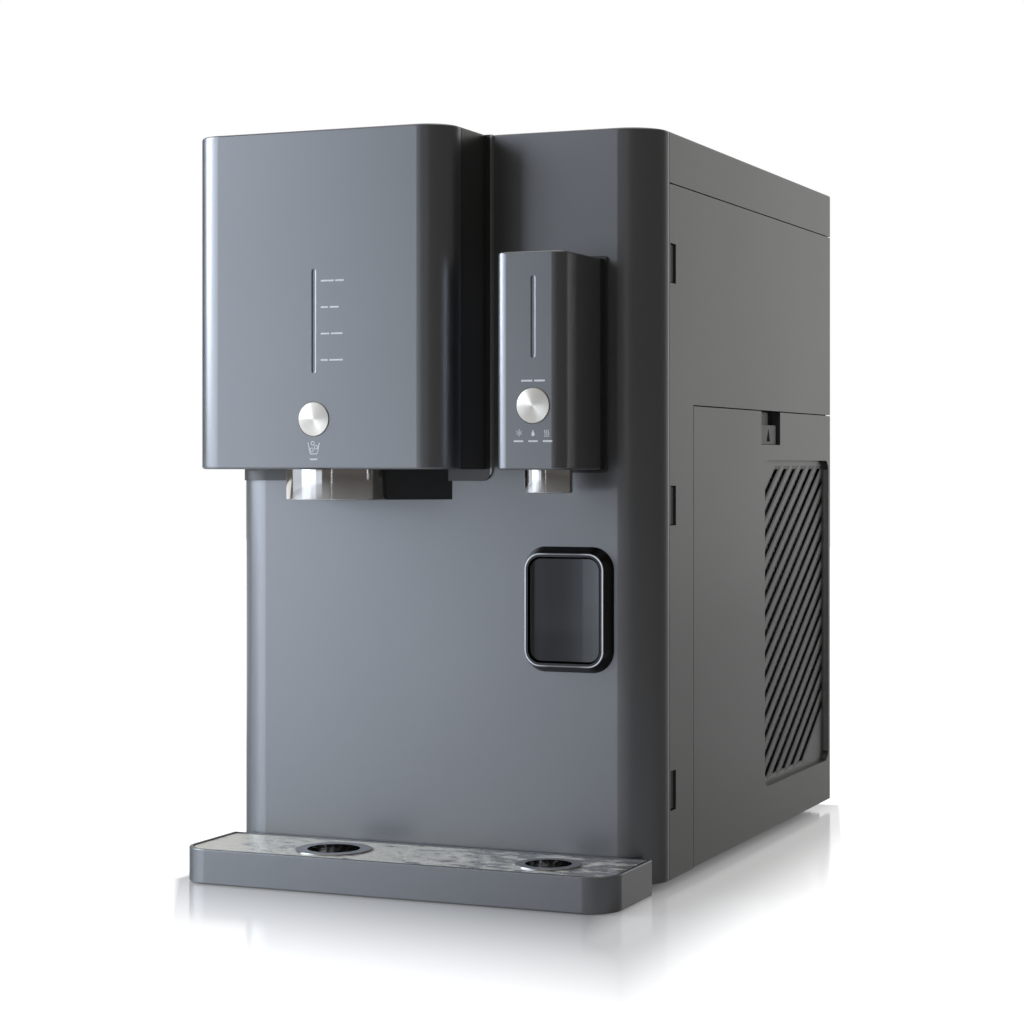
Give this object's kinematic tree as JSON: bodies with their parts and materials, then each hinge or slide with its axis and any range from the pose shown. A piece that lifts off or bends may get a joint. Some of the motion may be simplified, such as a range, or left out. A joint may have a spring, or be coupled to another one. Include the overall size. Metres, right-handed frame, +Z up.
{
  "type": "water purifier with ice maker",
  "caption": "Countertop water purifier and ice maker: two dispensing heads on a deep cabinet, push paddle, drip tray, slotted side service cover.",
  "frame": {"origin": "on the floor under the middle of the overall depth and width, drip tray included", "axes": "+X to the right seen from the front, +Y to the back, +Z up"},
  "size_m": [0.31, 0.506, 0.4955],
  "materials": {
    "face_metal": "fine metallic paint, satin",
    "side_grey": "fine-textured dark grey",
    "dark_plastic": "moulded black-grey",
    "gloss_black": "polished black",
    "bright_chrome": "mirror chrome",
    "dark_chrome": "smoked chrome",
    "polished_steel": "polished stainless",
    "turned_aluminium": "spun finish",
    "light_guide": "clear diffuser",
    "foot_rubber": "matt",
    "sheet_steel": "galvanised sheet",
    "screw_steel": "zinc plated",
    "white_plastic": "moulded white",
    "black_plastic": "moulded black",
    "circuit_green": "solder mask",
    "foam": "expanded foam",
    "compressor_black": "black enamel",
    "copper_pipe": "drawn copper"
  },
  "bodies": {
    "cabinet": {"base_pan": "dark_plastic", "rubber_feet": "foot_rubber", "front_cover": "face_metal", "left_side_panel": "side_grey", "right_side_panel": "side_grey", "top_cover": "side_grey", "rear_panel": "sheet_steel", "rear_screws": "screw_steel", "water_inlet_fitting": "white_plastic", "drain_fitting": "white_plastic", "power_inlet": "black_plastic", "ice_head_shell": "face_metal", "ice_head_housing": "side_grey", "ice_light_guide": "light_guide", "ice_button_board": "circuit_green", "ice_outlet_ring": "bright_chrome", "ice_chute": "dark_plastic", "water_head_shell": "face_metal", "water_head_housing": "side_grey", "water_light_guide": "light_guide", "water_button_board": "circuit_green", "nozzle_ring": "bright_chrome", "water_nozzle": "dark_plastic", "paddle_bezel": "dark_chrome", "paddle_spring": "screw_steel", "paddle_switch": "dark_plastic", "chassis_frame": "sheet_steel", "filter_manifold": "white_plastic", "cold_tank": "polished_steel", "cold_tank_insulation": "foam", "hot_tank": "polished_steel", "compressor": "compressor_black", "condenser": "sheet_steel", "fan_shroud": "dark_plastic", "fan_motor": "black_plastic", "refrigerant_lines": "copper_pipe", "evaporator": "polished_steel", "ice_maker_frame": "dark_plastic", "ice_tray_motor": "black_plastic", "ice_bin": "white_plastic", "auger_motor": "black_plastic", "control_board": "circuit_green", "water_valves": "black_plastic", "water_tubes": "white_plastic"},
    "service_cover": {"service_cover": "side_grey"},
    "service_latch": {"service_latch": "dark_plastic"},
    "ice_button": {"ice_button": "turned_aluminium"},
    "water_button": {"water_button": "turned_aluminium"},
    "push_paddle": {"paddle_plate": "gloss_black"},
    "drip_tray": {"tray_body": "face_metal"},
    "tray_deck": {"tray_deck": "polished_steel", "ice_drain_ring": "bright_chrome", "water_drain_ring": "bright_chrome"},
    "ice_gate": {"ice_gate": "dark_plastic"},
    "sediment_filter": {"sediment_filter": "white_plastic"},
    "carbon_filter": {"carbon_filter": "white_plastic"},
    "membrane_filter": {"membrane_filter": "white_plastic"},
    "ice_tray": {"ice_tray": "white_plastic"},
    "auger": {"auger": "dark_plastic"},
    "condenser_fan": {"condenser_fan": "black_plastic"}
  },
  "joints": [
    {"name": "cover_tilt", "type": "hinge", "parent": "cabinet", "child": "service_cover", "pos_m": [0.147, 0.073, 0.0115], "axis": [0, 1, 0], "range_deg": [0, 30]},
    {"name": "latch_slide", "type": "slide", "parent": "service_cover", "child": "service_latch", "axis": [0, 0, 1], "range_m": [0, 0.006]},
    {"name": "ice_button_press", "type": "slide", "parent": "cabinet", "child": "ice_button", "axis": [0, 1, 0], "range_m": [0, 0.0015], "stiffness_N_per_m": 900},
    {"name": "water_button_press", "type": "slide", "parent": "cabinet", "child": "water_button", "axis": [0, 1, 0], "range_m": [0, 0.0015], "stiffness_N_per_m": 900},
    {"name": "paddle_push", "type": "hinge", "parent": "cabinet", "child": "push_paddle", "pos_m": [0.0954, -0.1815, 0.2104], "axis": [1, 0, 0], "range_deg": [0, 7], "stiffness_Nm_per_rad": 0.6, "deforming": ["paddle_spring"]},
    {"name": "tray_slide", "type": "slide", "parent": "cabinet", "child": "drip_tray", "axis": [0, -1, 0], "range_m": [0, 0.09]},
    {"name": "deck_lift", "type": "slide", "parent": "drip_tray", "child": "tray_deck", "axis": [0, 0, 1], "range_m": [0, 0.04]},
    {"name": "gate_swing", "type": "hinge", "parent": "cabinet", "child": "ice_gate", "pos_m": [-0.05585, -0.18, 0.3475], "axis": [-1, 0, 0], "range_deg": [0, 45]},
    {"name": "sediment_turn", "type": "hinge", "parent": "cabinet", "child": "sediment_filter", "pos_m": [0.12, -0.06902, 0.2555], "axis": [0, 0, 1], "range_deg": [0, 90]},
    {"name": "carbon_turn", "type": "hinge", "parent": "cabinet", "child": "carbon_filter", "pos_m": [0.12, -0.01906, 0.2555], "axis": [0, 0, 1], "range_deg": [0, 90]},
    {"name": "membrane_turn", "type": "hinge", "parent": "cabinet", "child": "membrane_filter", "pos_m": [0.12, 0.03089, 0.2555], "axis": [0, 0, 1], "range_deg": [0, 90]},
    {"name": "ice_tray_tip", "type": "hinge", "parent": "cabinet", "child": "ice_tray", "pos_m": [-0.075, -0.03102, 0.4365], "axis": [1, 0, 0], "range_deg": [0, 70]},
    {"name": "auger_turn", "type": "hinge", "parent": "cabinet", "child": "auger", "pos_m": [-0.05585, 0.05898, 0.3215], "axis": [0, 1, 0], "continuous": true},
    {"name": "fan_spin", "type": "hinge", "parent": "cabinet", "child": "condenser_fan", "pos_m": [0.0915, 0.15793, 0.1605], "axis": [1, 0, 0], "continuous": true}
  ]
}
